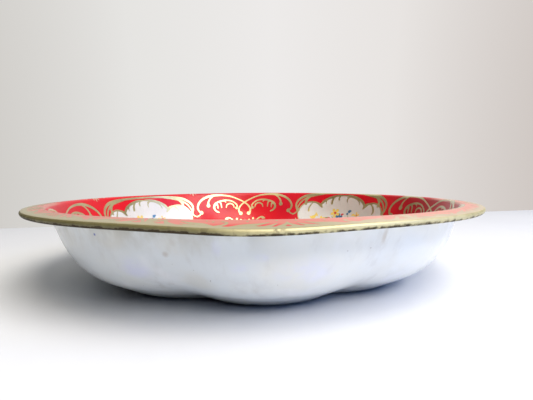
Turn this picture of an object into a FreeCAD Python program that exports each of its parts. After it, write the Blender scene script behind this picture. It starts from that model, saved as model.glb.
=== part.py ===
import FreeCAD, Part
import math
import os
import Sketcher

# A scalloped bowl pressed from one sheet of tinplate, with a rolled rim wired for stiffness.
#
# The shell is one sheet: a flat base with a raised round panel, eight lobes that fade out up the
# wall, a round flange that falls a little outwards, and an edge rolled under round a steel wire.
# Millimetres. +Z is up, the origin is the middle of the base on the surface that the bowl stands
# on, and a lobe points along -Y, the front.

LOBES = 8
LOBE_STEP = 360.0 / LOBES

# alias: (value, meaning). Angles are in degrees.
DIMENSIONS = {
    "rim_diameter": (254.0, "over the rolled edge"),
    "sheet": (0.3, "thickness of the tinplate"),
    "base_radius": (79.2, "flat base, centre to a lobe's crown"),
    "corner_radius": (8.0, "outside, where the base turns up"),
    "foot_angle": (26.5, "slope of the low part of the wall"),
    "foot_run": (15.0, "length of that slope"),
    "wall_bend": (32.0, "outside radius of the turn from low slope to steep wall"),
    "wall_angle": (75.0, "slope of the high part of the wall"),
    "wall_height": (40.0, "height at which the wall turns into the flange"),
    "crease_depth": (9.6, "depth of a crease below the crowns, at the base"),
    "crease_swell": (0.65, "how much longer than a straight taper a crease stays deep"),
    "flange_bend": (2.2, "radius of the turn from wall to flange, on the printed side"),
    "flange_fall": (6.0, "outward fall of the flange"),
    "bead_diameter": (2.6, "rolled edge"),
    "curl_angle": (285.0, "how far the edge is rolled round the wire"),
    "wire_play": (0.02, "gap between the wire and the curl"),
    "wire_gap": (0.3, "angle left between the wire's two ends"),
    "panel_radius": (58.0, "raised round panel in the base, seen from below"),
    "panel_rise": (1.0, "rise of that panel"),
}


def make_sheet(doc):
    """The spreadsheet of driving dimensions, one alias per row."""
    sheet = doc.addObject("Spreadsheet::Sheet", "dims")
    for row, (alias, (value, meaning)) in enumerate(DIMENSIONS.items(), start=1):
        sheet.set(f"A{row}", meaning)
        sheet.set(f"B{row}", str(value))
        sheet.setAlias(f"B{row}", alias)
    doc.recompute()
    return sheet


def value(sheet, expression):
    """The number that an expression on the sheet stands for."""
    result = sheet.evalExpression(expression)
    return float(getattr(result, "Value", result))


def origin_plane(body, role):
    """One of the body's own origin planes."""
    return next(f for f in body.Origin.OriginFeatures if f.Role == role)


def new_sketch(body, name, role, height=None):
    """An empty sketch on an origin plane, lifted to a height given as an expression."""
    sketch = body.newObject("Sketcher::SketchObject", name)
    sketch.AttachmentSupport = [(origin_plane(body, role), "")]
    sketch.MapMode = "FlatFace"
    if height:
        sketch.setExpression("AttachmentOffset.Base.z", height)
    return sketch


def outline(sheet, sketch, corners, bulges):
    """Draws a closed outline. Corners are pairs of expressions, and bulges holds, for the edge
    that leaves each corner, None for a straight edge or (centre x, centre y, radius, turn):
    expressions, and +1 for an arc that runs anticlockwise or -1 for clockwise."""
    points = [FreeCAD.Vector(value(sheet, x), value(sheet, y), 0) for x, y in corners]
    up = FreeCAD.Vector(0, 0, 1)
    starts = []
    for i, bulge in enumerate(bulges):
        a, b = points[i], points[(i + 1) % len(points)]
        if bulge is None:
            sketch.addGeometry(Part.LineSegment(a, b))
            starts.append((1, 2))
            continue
        centre = FreeCAD.Vector(value(sheet, bulge[0]), value(sheet, bulge[1]), 0)
        radius = value(sheet, bulge[2])
        first, last = (a, b) if bulge[3] > 0 else (b, a)
        start = math.atan2(first.y - centre.y, first.x - centre.x)
        end = math.atan2(last.y - centre.y, last.x - centre.x)
        if end <= start:
            end += 2 * math.pi
        sketch.addGeometry(Part.ArcOfCircle(Part.Circle(centre, up, radius), start, end))
        starts.append((1, 2) if bulge[3] > 0 else (2, 1))
    for i, (x, y) in enumerate(corners):
        before = (i - 1) % len(corners)
        bind(sketch, ("DistanceX", -1, 1, i, starts[i][0]), x, points[i].x)
        bind(sketch, ("DistanceY", -1, 1, i, starts[i][0]), y, points[i].y)
        sketch.addConstraint(
            Sketcher.Constraint("Coincident", before, starts[before][1], i, starts[i][0])
        )
        if bulges[i] is not None:
            bind(sketch, ("Radius", i), bulges[i][2], value(sheet, bulges[i][2]))


def bind(sketch, what, expression, number):
    """Adds a dimension to a sketch and ties it to an expression on the sheet."""
    index = sketch.addConstraint(Sketcher.Constraint(*what, number))
    sketch.setExpression(f"Constraints[{index}]", expression)


def wall_stations():
    """Expressions for the outside of a lobe's crown, as (radius, height, slope in degrees)."""
    foot, steep = "dims.foot_angle", "dims.wall_angle"
    corner_r = f"(dims.base_radius + dims.corner_radius * sin({foot} * 1deg))"
    corner_z = f"(dims.corner_radius * (1 - cos({foot} * 1deg)))"
    bend_r = f"({corner_r} + dims.foot_run * cos({foot} * 1deg))"
    bend_z = f"({corner_z} + dims.foot_run * sin({foot} * 1deg))"

    def on_corner(slope):
        radius = f"(dims.base_radius + dims.corner_radius * sin({slope} * 1deg))"
        return radius, f"(dims.corner_radius * (1 - cos({slope} * 1deg)))", slope

    def on_foot(share):
        radius = f"({corner_r} + {share} * dims.foot_run * cos({foot} * 1deg))"
        return radius, f"({corner_z} + {share} * dims.foot_run * sin({foot} * 1deg))", foot

    def on_bend(slope):
        radius = f"({bend_r} + dims.wall_bend * (sin({slope} * 1deg) - sin({foot} * 1deg)))"
        height = f"({bend_z} + dims.wall_bend * (cos({foot} * 1deg) - cos({slope} * 1deg)))"
        return radius, height, slope

    def on_wall(share):
        low_r, low_z, slope = on_bend(steep)
        height = f"({low_z} + {share} * (dims.wall_height - {low_z}))"
        return f"({low_r} + ({height} - {low_z}) / tan({slope} * 1deg))", height, slope

    stations = [("dims.base_radius", "0", "0")]
    stations += [on_corner(f"({foot} * {share})") for share in (0.3, 0.65, 1.0)]
    stations += [on_foot(share) for share in (0.35, 0.7)]
    stations += [
        on_bend(f"({foot} + {share} * ({steep} - {foot}))")
        for share in (0.0, 0.25, 0.5, 0.75, 1.0)
    ]
    stations += [on_wall(share) for share in (0.5, 1.0)]
    return stations


def lobe_arc(radius, height):
    """Expressions for the arc of a lobe at a station: its radius, and how far its centre lies
    from the bowl's axis. The arc runs from crease to crease through the crown."""
    rise = f"({height} / dims.wall_height)"
    depth = f"(dims.crease_depth * (1 - {rise}) * (1 + dims.crease_swell * {rise}))"
    crease = f"({radius} - {depth})"
    half = f"cos({LOBE_STEP / 2}deg)"
    offset = f"(({radius}^2 - {crease}^2) / (2 * ({radius} - {crease} * {half})))"
    return f"({radius} - {offset})", offset


def lobed_section(sheet, body, name, height, arc_radius, arc_offset):
    """A closed outline of eight arcs at a height. Neighbouring arcs meet in the creases."""
    half = f"{LOBE_STEP / 2}deg"
    crease = f"({arc_offset} * cos({half}) + sqrt({arc_radius}^2 - ({arc_offset} * sin({half}))^2))"
    corners, bulges = [], []
    for lobe in range(LOBES):
        crown = lobe * LOBE_STEP
        start = f"{crown - LOBE_STEP / 2}deg"
        corners.append((f"{crease} * cos({start})", f"{crease} * sin({start})"))
        bulges.append(
            (f"{arc_offset} * cos({crown}deg)", f"{arc_offset} * sin({crown}deg)", arc_radius, 1)
        )
    sketch = new_sketch(body, name, "XY_Plane", height)
    outline(sheet, sketch, corners, bulges)
    return sketch


def loft(body, kind, name, sketches):
    """An additive or subtractive loft through sketches, smooth from the first to the last."""
    feature = body.newObject(f"PartDesign::{kind}Loft", name)
    feature.Profile = sketches[0]
    feature.Sections = sketches[1:]
    feature.Ruled = False
    return feature


def turned(body, kind, name, sketch, angle=None):
    """A Revolution or Groove of a sketch on the XZ plane, about the bowl's axis."""
    feature = body.newObject(f"PartDesign::{kind}", name)
    feature.Profile = sketch
    feature.ReferenceAxis = (sketch, ["V_Axis"])
    feature.Angle = 360
    if angle:
        feature.setExpression("Angle", angle)
    return feature


def rim_geometry(wall_radius):
    """Expressions for the rim's section: where the printed side leaves the wall, and the centres
    of the flange's bend and of the bead."""
    steep, fall = "dims.wall_angle * 1deg", "dims.flange_fall * 1deg"
    drop = f"(dims.flange_bend * cos({steep}))"
    bend_r = f"({wall_radius} + sqrt((dims.flange_bend - dims.sheet)^2 - {drop}^2))"
    bend_z = f"(dims.wall_height - {drop})"
    printed_r = f"({bend_r} - dims.flange_bend * sin({steep}))"
    end_z = f"({bend_z} + dims.flange_bend * cos({fall}))"
    bead_r = "(dims.rim_diameter / 2 - dims.bead_diameter / 2)"
    run = f"({bead_r} + (dims.bead_diameter / 2 - dims.flange_bend) * sin({fall}) - {bend_r})"
    bead_z = f"({end_z} - {run} * tan({fall}) - dims.bead_diameter / 2 * cos({fall}))"
    return {"printed_r": printed_r, "bend": (bend_r, bend_z), "bead": (bead_r, bead_z)}


def rim_section(sheet, body, wall_radius):
    """The sheet's section from the top of the wall, over the flange and round the curl."""
    rim = rim_geometry(wall_radius)
    (bend_r, bend_z), (bead_r, bead_z) = rim["bend"], rim["bead"]
    flat = "(90 - dims.flange_fall)"
    curl_end = f"({flat} - dims.curl_angle)"
    printed_bend, printed_bead = "dims.flange_bend", "(dims.bead_diameter / 2)"
    under_bend = "(dims.flange_bend - dims.sheet)"
    under_bead = "(dims.bead_diameter / 2 - dims.sheet)"

    def around(centre, radius, degrees):
        x = f"({centre[0]} + {radius} * cos({degrees} * 1deg))"
        return x, f"({centre[1]} + {radius} * sin({degrees} * 1deg))"

    corners = [
        (rim["printed_r"], "dims.wall_height"),
        around(rim["bend"], printed_bend, flat),
        around(rim["bead"], printed_bead, flat),
        around(rim["bead"], printed_bead, curl_end),
        around(rim["bead"], under_bead, curl_end),
        around(rim["bead"], under_bead, flat),
        around(rim["bend"], under_bend, flat),
        (wall_radius, "dims.wall_height"),
    ]
    bulges = [
        (bend_r, bend_z, printed_bend, -1),
        None,
        (bead_r, bead_z, printed_bead, -1),
        None,
        (bead_r, bead_z, under_bead, 1),
        None,
        (bend_r, bend_z, under_bend, 1),
        None,
    ]
    sketch = new_sketch(body, "rim_section", "XZ_Plane")
    outline(sheet, sketch, corners, bulges)
    return sketch


def panel_section(sheet, body, name, low, high, extra):
    """Half of the raised base panel's section: a low disc with a 45 degree edge."""
    edge = f"(dims.panel_radius + {extra})"
    corners = [
        ("0", low),
        (edge, low),
        (f"{edge} - dims.panel_rise", high),
        ("0", high),
    ]
    sketch = new_sketch(body, name, "XZ_Plane")
    outline(sheet, sketch, corners, [None] * len(corners))
    return sketch


def make_shell(doc, sheet):
    """The pressed and rolled sheet."""
    body = doc.addObject("PartDesign::Body", "bowl_shell")
    body.Label = "bowl_shell"
    outside, inside = [], []
    stations = wall_stations()
    wall_radius = stations[-1][0]
    for i, (radius, height, slope) in enumerate(stations):
        arc_radius, arc_offset = lobe_arc(radius, height)
        outside.append(
            lobed_section(sheet, body, f"outside_{i}", height, arc_radius, arc_offset)
        )
        inset, lift = f"dims.sheet * sin({slope} * 1deg)", f"dims.sheet * cos({slope} * 1deg)"
        if i == len(stations) - 1:
            inset, lift = f"({wall_radius} - {rim_geometry(wall_radius)['printed_r']})", "0"
        inside.append(
            lobed_section(
                sheet, body, f"inside_{i}", f"{height} + {lift}",
                f"({arc_radius} - {inset})", arc_offset,
            )
        )
    loft(body, "Additive", "pressed_form", outside)
    doc.recompute()
    loft(body, "Subtractive", "pressed_hollow", inside)
    doc.recompute()
    panel_top = panel_section(
        sheet, body, "panel_top", "dims.sheet / 2", "dims.panel_rise + dims.sheet", "dims.sheet"
    )
    turned(body, "Revolution", "raised_panel", panel_top)
    doc.recompute()
    panel_under = panel_section(sheet, body, "panel_under", "0", "dims.panel_rise", "0")
    turned(body, "Groove", "panel_hollow", panel_under)
    doc.recompute()
    turned(body, "Revolution", "rolled_rim", rim_section(sheet, body, wall_radius))
    doc.recompute()
    return body


def make_wire(doc, sheet):
    """The round steel wire inside the rolled edge, with its two ends butted at the back."""
    body = doc.addObject("PartDesign::Body", "rim_wire")
    body.Label = "rim_wire"
    rim = rim_geometry(wall_stations()[-1][0])
    radius = "(dims.bead_diameter / 2 - dims.sheet - dims.wire_play)"
    centre_r, centre_z = rim["bead"]
    sketch = new_sketch(body, "wire_section", "XZ_Plane")
    middle = FreeCAD.Vector(value(sheet, centre_r), value(sheet, centre_z), 0)
    up = FreeCAD.Vector(0, 0, 1)
    sketch.addGeometry(Part.Circle(middle, up, value(sheet, radius)))
    bind(sketch, ("DistanceX", -1, 1, 0, 3), centre_r, middle.x)
    bind(sketch, ("DistanceY", -1, 1, 0, 3), centre_z, middle.y)
    bind(sketch, ("Radius", 0), radius, value(sheet, radius))
    turned(body, "Revolution", "wire_ring", sketch, "360 - dims.wire_gap")
    body.Placement = FreeCAD.Placement(
        FreeCAD.Vector(), FreeCAD.Rotation(FreeCAD.Vector(0, 0, 1), 90)
    )
    doc.recompute()
    return body


def check(doc, parts):
    """Stops if anything failed to build, and prints each piece's size."""
    for obj in doc.Objects:
        if {"Invalid", "Error"} & set(obj.State):
            raise RuntimeError(f"{obj.Name} failed: {obj.State}")
    for part in parts:
        shape = part.Shape
        if shape.isNull() or not shape.isValid() or len(shape.Solids) != 1:
            raise RuntimeError(f"{part.Label} is not one valid solid")
        box = shape.BoundBox
        print(
            f"{part.Label}: {box.XLength:.2f} x {box.YLength:.2f} x {box.ZLength:.2f} mm,"
            f" z {box.ZMin:.3f} to {box.ZMax:.3f}, {shape.Volume:.0f} mm3"
        )


def main():
    doc = FreeCAD.newDocument("bowl")
    sheet = make_sheet(doc)
    parts = [make_shell(doc, sheet), make_wire(doc, sheet)]
    doc.recompute()
    check(doc, parts)
    os.makedirs("parts", exist_ok=True)
    for part in parts:
        part.Shape.exportStep(os.path.join("parts", part.Label + ".step"))


main()
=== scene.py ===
import math
from math import cos, pi, radians, sin, tan

import bpy
import numpy as np
from mathutils import Matrix, Vector


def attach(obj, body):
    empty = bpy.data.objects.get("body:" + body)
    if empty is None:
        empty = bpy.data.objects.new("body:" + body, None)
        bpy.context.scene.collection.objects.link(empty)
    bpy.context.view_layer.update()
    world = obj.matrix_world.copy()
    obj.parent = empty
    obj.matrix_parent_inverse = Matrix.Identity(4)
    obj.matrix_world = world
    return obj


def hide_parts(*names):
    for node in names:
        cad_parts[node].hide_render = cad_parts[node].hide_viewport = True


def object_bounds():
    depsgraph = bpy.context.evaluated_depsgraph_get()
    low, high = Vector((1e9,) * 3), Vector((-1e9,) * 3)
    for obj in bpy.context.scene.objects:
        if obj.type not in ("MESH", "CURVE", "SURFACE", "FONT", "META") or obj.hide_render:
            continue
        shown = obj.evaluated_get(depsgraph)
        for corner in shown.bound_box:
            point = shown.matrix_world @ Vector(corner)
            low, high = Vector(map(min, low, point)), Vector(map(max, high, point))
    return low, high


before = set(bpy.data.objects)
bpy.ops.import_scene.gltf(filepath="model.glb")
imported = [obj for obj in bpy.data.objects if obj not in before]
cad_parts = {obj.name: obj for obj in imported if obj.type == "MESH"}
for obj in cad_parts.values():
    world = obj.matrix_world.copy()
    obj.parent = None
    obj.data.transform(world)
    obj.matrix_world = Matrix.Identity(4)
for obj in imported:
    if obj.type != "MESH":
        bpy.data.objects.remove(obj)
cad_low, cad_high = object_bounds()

MM = 0.001

# ---------------------------------------------------------------- sizes, in millimetres

LOBES = 8
HALF_LOBE = pi / LOBES
RIM_R = cad_high.x / MM
SHEET = 0.3

# The profile through a lobe's crown: base, rounded corner, foot, bend and wall.
BASE_R = 79.2
CORNER_R = 8.0
FOOT = radians(26.5)
FOOT_RUN = 15.0
BEND_R = 32.0
WALL = radians(75)
WALL_Z = 40.0

# The creases between lobes: their depth at the base, how slowly it fades, and their roundness.
CREASE = 9.6
CREASE_SWELL = 0.65
CREASE_SOFT = 1.5
CREASE_SPREAD = 8.5
CREASE_SPREAD_Z = 15.0

# The flange, the rolled edge and the gap round its wire.
FLANGE_BEND = 2.2
FALL = radians(6)
BEAD_R = 1.3
CURL = radians(285)
WIRE_GAP = 0.02

# The raised round panel in the base.
PANEL_R = 58.0
PANEL_RISE = 1.0

# The knock that bent the flange down at the front: depth, spread in degrees, run-in.
RIM_SAG = 1.3
RIM_SAG_WIDTH = 13.0
RIM_SAG_RUN = 10.0


# ---------------------------------------------------------------- camera

VIEW_TURN = radians(-4.9)
VIEW_YAW = radians(1.57)
VIEW_PITCH = radians(3.19)
VIEW_ROLL = radians(-0.3)
VIEW_PLACE = (0, -0.249, 0.0553)
VIEW_LENS = 26.69


def make_camera():
    """The camera stands just above the rim's height, a forearm's length away."""
    turn = Matrix.Rotation(VIEW_TURN, 3, "Z")
    forward = turn @ Vector((
        sin(VIEW_YAW) * cos(VIEW_PITCH), cos(VIEW_YAW) * cos(VIEW_PITCH), -sin(VIEW_PITCH)
    ))
    right = turn @ Vector((cos(VIEW_YAW), -sin(VIEW_YAW), 0))
    up = right.cross(forward)
    image_right = right * cos(VIEW_ROLL) + up * sin(VIEW_ROLL)
    image_up = up * cos(VIEW_ROLL) - right * sin(VIEW_ROLL)
    data = bpy.data.cameras.new("camera")
    data.sensor_width = 36.0
    data.lens = VIEW_LENS
    data.clip_start = 0.005
    data.clip_end = 50
    camera = bpy.data.objects.new("camera", data)
    spin = Matrix((image_right, image_up, -forward)).transposed().to_4x4()
    camera.matrix_world = Matrix.Translation(turn @ Vector(VIEW_PLACE)) @ spin
    bpy.context.scene.collection.objects.link(camera)
    bpy.context.scene.camera = camera


# ---------------------------------------------------------------- the bowl's surface


def arc(centre, radius, start, end, count):
    """Points of a circular arc, from the first angle to the last."""
    return [
        (centre[0] + radius * cos(a), centre[1] + radius * sin(a))
        for a in np.linspace(start, end, count)
    ]


def crown_profile():
    """The outer side's profile through a lobe's crown, from the axis to the curl's end, as
    arrays: distance along it from the base's edge, radius, height, and crease depth."""
    line = [(0.0, PANEL_RISE), (PANEL_R - PANEL_RISE, PANEL_RISE), (PANEL_R, 0.0)]
    line += [(BASE_R, 0.0)]
    line += arc((BASE_R, CORNER_R), CORNER_R, -pi / 2, FOOT - pi / 2, 12)[1:]
    foot_r = line[-1][0] + FOOT_RUN * cos(FOOT)
    foot_z = line[-1][1] + FOOT_RUN * sin(FOOT)
    line.append((foot_r, foot_z))
    centre = (foot_r - BEND_R * sin(FOOT), foot_z + BEND_R * cos(FOOT))
    line += arc(centre, BEND_R, FOOT - pi / 2, WALL - pi / 2, 60)[1:]
    wall_r = line[-1][0] + (WALL_Z - line[-1][1]) / tan(WALL)
    line.append((wall_r, WALL_Z))
    drop = FLANGE_BEND * cos(WALL)
    under = FLANGE_BEND - SHEET
    centre = (wall_r + math.sqrt(under**2 - drop**2), WALL_Z - drop)
    line += arc(centre, under, pi - math.asin(drop / under), pi / 2 - FALL, 24)[1:]
    flat_z = centre[1] + FLANGE_BEND * cos(FALL)
    bead_r = RIM_R - BEAD_R
    run = bead_r + (BEAD_R - FLANGE_BEND) * sin(FALL) - centre[0]
    bead = (bead_r, flat_z - run * tan(FALL) - BEAD_R * cos(FALL))
    line += arc(bead, BEAD_R - SHEET, pi / 2 - FALL, pi / 2 - FALL - CURL, 60)
    line = np.array(line)
    steps = np.hypot(*np.diff(line, axis=0).T)
    along = np.concatenate([[0], np.cumsum(steps)])
    return along - along[3], line[:, 0], line[:, 1], (wall_r, bead)


ALONG, CROWN_R, CROWN_Z, (WALL_R, BEAD) = crown_profile()
V_START = ALONG[0]
V_FIRST = V_START + 6
V_WALL = float(ALONG[np.argmin(np.hypot(CROWN_R - WALL_R, CROWN_Z - WALL_Z))])
V_END = ALONG[-1]
V_CURL = V_END - CURL * (BEAD_R - SHEET)


def smooth(x):
    """A soft step from 0 to 1."""
    x = np.clip(x, 0, 1)
    return x * x * (3 - 2 * x)


def crease_depth(v, z):
    """How deep the creases are below the crowns at each place."""
    rise = np.clip(z / WALL_Z, 0, 1)
    wall = CREASE * (1 - rise) * (1 + CREASE_SWELL * rise)
    base = CREASE * np.clip((v + BASE_R - PANEL_R) / (BASE_R - PANEL_R), 0, 1)
    return np.where(v < 0, base, wall)


def sag(turn, v):
    """How far the knocked front of the flange has been bent down."""
    off_front = np.degrees(np.mod(turn - VIEW_TURN + pi, 2 * pi) - pi)
    down = RIM_SAG * np.exp(-((off_front / RIM_SAG_WIDTH) ** 2))
    return down * smooth((v - V_WALL) / RIM_SAG_RUN)


def outer_point(turn, v):
    """The point on the sheet's outer side, v millimetres up the wall from the base's edge, and
    turned from the front by an angle."""
    rc = np.interp(v, ALONG, CROWN_R)
    z = np.interp(v, ALONG, CROWN_Z)
    depth = np.minimum(crease_depth(v, z), 0.9 * np.maximum(rc, 1e-3))
    crease = rc - depth
    offset = (rc**2 - crease**2) / np.maximum(2 * (rc - crease * cos(HALF_LOBE)), 1e-9)
    radius = rc - offset
    off_crease = HALF_LOBE - np.abs(np.mod(turn + HALF_LOBE, 2 * HALF_LOBE) - HALF_LOBE)
    soft = (CREASE_SOFT + CREASE_SPREAD * smooth(z / CREASE_SPREAD_Z)) / np.maximum(rc, 20.0)
    off_crown = HALF_LOBE - np.sqrt(off_crease**2 + soft**2)
    under = np.maximum(radius**2 - (offset * np.sin(off_crown)) ** 2, 0)
    r = offset * np.cos(off_crown) + np.sqrt(under)
    r = np.where(depth < 1e-9, rc, r)
    return np.stack([r * np.sin(turn), -r * np.cos(turn), z - sag(turn, v)], -1)


def sheet_point(turn, v, lift=0.0):
    """A point that stands off the sheet's outer side by lift millimetres, towards the printed
    side: a lift of SHEET is the printed surface."""
    turn, v = np.broadcast_arrays(np.asarray(turn, float), np.asarray(v, float))
    dt, dv = 2e-3, 0.02
    across = outer_point(turn + dt, v) - outer_point(turn - dt, v)
    v_low, v_high = np.maximum(v - dv, V_START), np.minimum(v + dv, V_END)
    up = outer_point(turn, v_high) - outer_point(turn, v_low)
    normal = np.cross(up, across)
    normal /= np.maximum(np.linalg.norm(normal, axis=-1, keepdims=True), 1e-12)
    return outer_point(turn, v) + np.asarray(lift)[..., None] * normal


def new_object(name, points, faces, material=None, smooth_angle=40):
    """A mesh object from points in millimetres, shaded smooth but for its sharp edges."""
    mesh = bpy.data.meshes.new(name)
    mesh.from_pydata((np.asarray(points) * MM).tolist(), [], faces)
    mesh.validate()
    mesh.shade_smooth()
    mesh.set_sharp_from_angle(angle=radians(smooth_angle))
    thing = bpy.data.objects.new(name, mesh)
    bpy.context.scene.collection.objects.link(thing)
    if material:
        mesh.materials.append(material)
    return thing


COLUMNS = 512


def stations(start, end):
    """Distances up the wall for the shell's rows, closer together where it bends more."""
    marks = [
        (V_FIRST, 3), (-BASE_R + PANEL_R - 1.6, 3), (-BASE_R + PANEL_R + 0.2, 5),
        (0.0, 6), (CORNER_R * FOOT, 4), (V_WALL, 46), (V_CURL - 6.2, 7), (V_CURL, 5), (V_END, 18),
    ]
    rows, last = [], V_FIRST
    for mark, count in marks:
        rows += list(np.linspace(last, mark, count + 1)[1:] if mark > last else [])
        last = mark
    rows = np.array([V_FIRST] + rows)
    inside = rows[(rows > start + 1e-6) & (rows < end - 1e-6)]
    return np.concatenate([[start], inside, [end]])


def layer(name, start, end, low, high, material):
    """A closed layer of the sheet, between two lifts off its outer side."""
    rows = stations(start, end)
    turns = np.arange(COLUMNS) * 2 * pi / COLUMNS
    closed = start <= V_FIRST
    grids = [sheet_point(turns[None, :], rows[:, None], lift) for lift in (low, high)]
    count = len(rows)
    points = [g.reshape(-1, 3) for g in grids]
    faces = []
    for side in (0, 1):
        base = side * count * COLUMNS
        i = np.arange(count - 1)[:, None] * COLUMNS + base
        j = np.arange(COLUMNS)[None, :]
        k = (j + 1) % COLUMNS
        quad = np.stack([i + j, i + k, i + COLUMNS + k, i + COLUMNS + j], -1).reshape(-1, 4)
        faces += (quad if side == 0 else quad[:, ::-1]).tolist()
    j = np.arange(COLUMNS)
    k = (j + 1) % COLUMNS
    top, other = (count - 1) * COLUMNS, count * COLUMNS
    faces += np.stack([top + j, top + k, other + top + k, other + top + j], -1).tolist()
    total = 2 * count * COLUMNS
    if closed:
        z = PANEL_RISE
        points += [np.array([[0, 0, z + low], [0, 0, z + high]])]
        faces += np.stack([np.full_like(j, total), k, j], -1).tolist()
        faces += np.stack([np.full_like(j, total + 1), other + j, other + k], -1).tolist()
    else:
        faces += np.stack([j, other + j, other + k, k], -1).tolist()
    return new_object(name, np.concatenate(points), faces, material)


# ---------------------------------------------------------------- printed artwork

PRINT_R = WALL_R
# How far films reach into the sheet, and how far each colour stands off it.
FILM_ROOT = 0.05
FILM_HEIGHT = {"white": 0.03, "gold": 0.08, "green": 0.05, "blue": 0.055, "yellow": 0.06,
               "rose": 0.065}
FLANGE_HEIGHT = 0.03
BEND_HEIGHT = 0.045
# The grid that artwork is drawn on, and the distance it starts with.
GRID_STEP = 0.5
FAR = 5.0
MARGIN = 3


def curve(points, per_span=7):
    """A smooth line through points, each (x, y, width)."""
    p = np.array(points, float)
    p = np.concatenate([[2 * p[0] - p[1]], p, [2 * p[-1] - p[-2]]])
    t = np.linspace(0, 1, per_span, endpoint=False)[:, None]
    spans = []
    for a, b, c, d in zip(p, p[1:], p[2:], p[3:]):
        spans.append(b + t * (c - a) / 2 + t**2 * (2 * a - 5 * b + 4 * c - d) / 2
                     + t**3 * (3 * b - a - 3 * c + d) / 2)
    line = np.concatenate(spans + [p[-2:-1]])
    line[:, 2] = np.maximum(line[:, 2], 0.2)
    return line


class Ink:
    """Areas of one colour on a flat grid, kept as a distance in millimetres from their edge,
    negative inside. sides holds 1 for artwork drawn as given, -1 for its mirror image, or both,
    and with a period it repeats sideways."""

    def __init__(self, x, y, sides=(1,), period=0.0, weight=1.0):
        self.x, self.y = np.meshgrid(x, y)
        self.field = np.full(self.x.shape, FAR)
        self.sides = sides
        self.shifts = (-period, 0.0, period) if period else (0.0,)
        self.weight = weight
        self.home = (0.0, 0.0, 0.0)

    def copies(self, x, y):
        """Where a point or line lands, in each copy."""
        cx, cy, turn = self.home
        px = cx + x * cos(turn) - y * sin(turn)
        py = cy + x * sin(turn) + y * cos(turn)
        return [(px * side + shift, py) for side in self.sides for shift in self.shifts]

    def merge(self, low, high, measure):
        """Joins an area to the rest. measure gives the distance at places near its box."""
        cols = slice(*np.searchsorted(self.x[0], [low[0] - MARGIN, high[0] + MARGIN]))
        rows = slice(*np.searchsorted(self.y[:, 0], [low[1] - MARGIN, high[1] + MARGIN]))
        x, y = self.x[rows, cols], self.y[rows, cols]
        if x.size:
            self.field[rows, cols] = np.minimum(self.field[rows, cols], measure(x, y))

    def stroke(self, *points, ball=0.0):
        """A line of changing width, with a round ball on its far end if that has a radius."""
        line = curve(points)
        half = line[:, 2] / 2 * self.weight
        for px, py in self.copies(line[:, 0], line[:, 1]):

            def measure(x, y, px=px, py=py):
                best = np.full(x.shape, FAR)
                for i in range(len(px) - 1):
                    dx, dy = px[i + 1] - px[i], py[i + 1] - py[i]
                    t = ((x - px[i]) * dx + (y - py[i]) * dy) / max(dx * dx + dy * dy, 1e-9)
                    t = np.clip(t, 0, 1)
                    away = np.hypot(x - px[i] - t * dx, y - py[i] - t * dy)
                    best = np.minimum(best, away - half[i] - t * (half[i + 1] - half[i]))
                return best

            self.merge((px.min(), py.min()), (px.max(), py.max()), measure)
        if ball:
            self.dot(points[-1][0], points[-1][1], ball)

    def dot(self, cx, cy, radius):
        """A round dot."""
        for px, py in self.copies(cx, cy):
            self.merge((px - radius, py - radius), (px + radius, py + radius),
                       lambda x, y: np.hypot(x - px, y - py) - radius)

    def oval(self, cx, cy, half_w, half_h):
        """An ellipse with level axes."""

        def measure(x, y, px, py):
            u, v = (x - px) / half_w, (y - py) / half_h
            r = np.hypot(u, v)
            return r * (r - 1) / np.maximum(np.hypot(u / half_w, v / half_h), 1e-6)

        for px, py in self.copies(cx, cy):
            self.merge((px - half_w, py - half_h), (px + half_w, py + half_h),
                       lambda x, y: measure(x, y, px, py))


def contour(field, wrap):
    """Vertices and faces of the area where a grid's field is negative. Vertices are (row, column)
    in grid steps. With wrap, the last column joins the first."""
    rows, cols = field.shape
    span = cols if wrap else cols - 1
    row, col = np.meshgrid(np.arange(rows - 1), np.arange(span), indexing="ij")
    after = (col + 1) % cols
    corner = [
        row * cols + col, row * cols + after,
        (row + 1) * cols + after, (row + 1) * cols + col,
    ]
    total = rows * cols
    edge = [total + corner[0], 2 * total + corner[1], total + corner[3], 2 * total + corner[0]]
    inside = field < 0
    case = sum(inside.ravel()[corner[i]].astype(int) << i for i in range(4))
    faces = []
    for number in range(1, 16):
        where = case == number
        if not where.any():
            continue
        ring = []
        for i in range(4):
            here, there = number >> i & 1, number >> (i + 1) % 4 & 1
            if here:
                ring.append(corner[i][where])
            if here != there:
                ring.append(edge[i][where])
        faces += np.stack(ring, -1).tolist()
    flat = field.ravel()
    ids = np.unique(np.concatenate([np.array(f) for f in faces])) if faces else np.array([], int)
    kind, home = ids // total, ids % total
    r, c = (home // cols).astype(float), (home % cols).astype(float)
    across = np.where(home % cols == cols - 1, home - cols + 1, home + 1)
    above = np.minimum(home + cols, total - 1)
    other = np.where(kind == 1, across, above)
    share = flat[home] / np.where(kind > 0, flat[home] - flat[other], 1)
    share = np.clip(share, 0.02, 0.98)
    c = np.where(kind == 1, c + share, c)
    r = np.where(kind == 2, r + share, r)
    index = {int(n): i for i, n in enumerate(ids)}
    return r, c, [[index[n] for n in f] for f in faces]


def solid_print(name, top, low, faces, material):
    """A closed film: faces on top, the same faces turned over below, and walls round the edge."""
    count = len(top)
    edges = {}
    for f in faces:
        for a, b in zip(f, f[1:] + f[:1]):
            edges[(a, b)] = True
    walls = [[b, a, a + count, b + count] for a, b in edges if (b, a) not in edges]
    under = [[i + count for i in reversed(f)] for f in faces]
    thing = new_object(name, np.concatenate([top, low]), faces + under + walls, material)
    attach(thing, "root")
    return thing


# The print's shifts against the pressed shape: all round, sideways and up, in millimetres.
PRINT_TURN = 0.3
PRINT_SLIP = 4.0
PRINT_LIFT = 1.6


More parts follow.
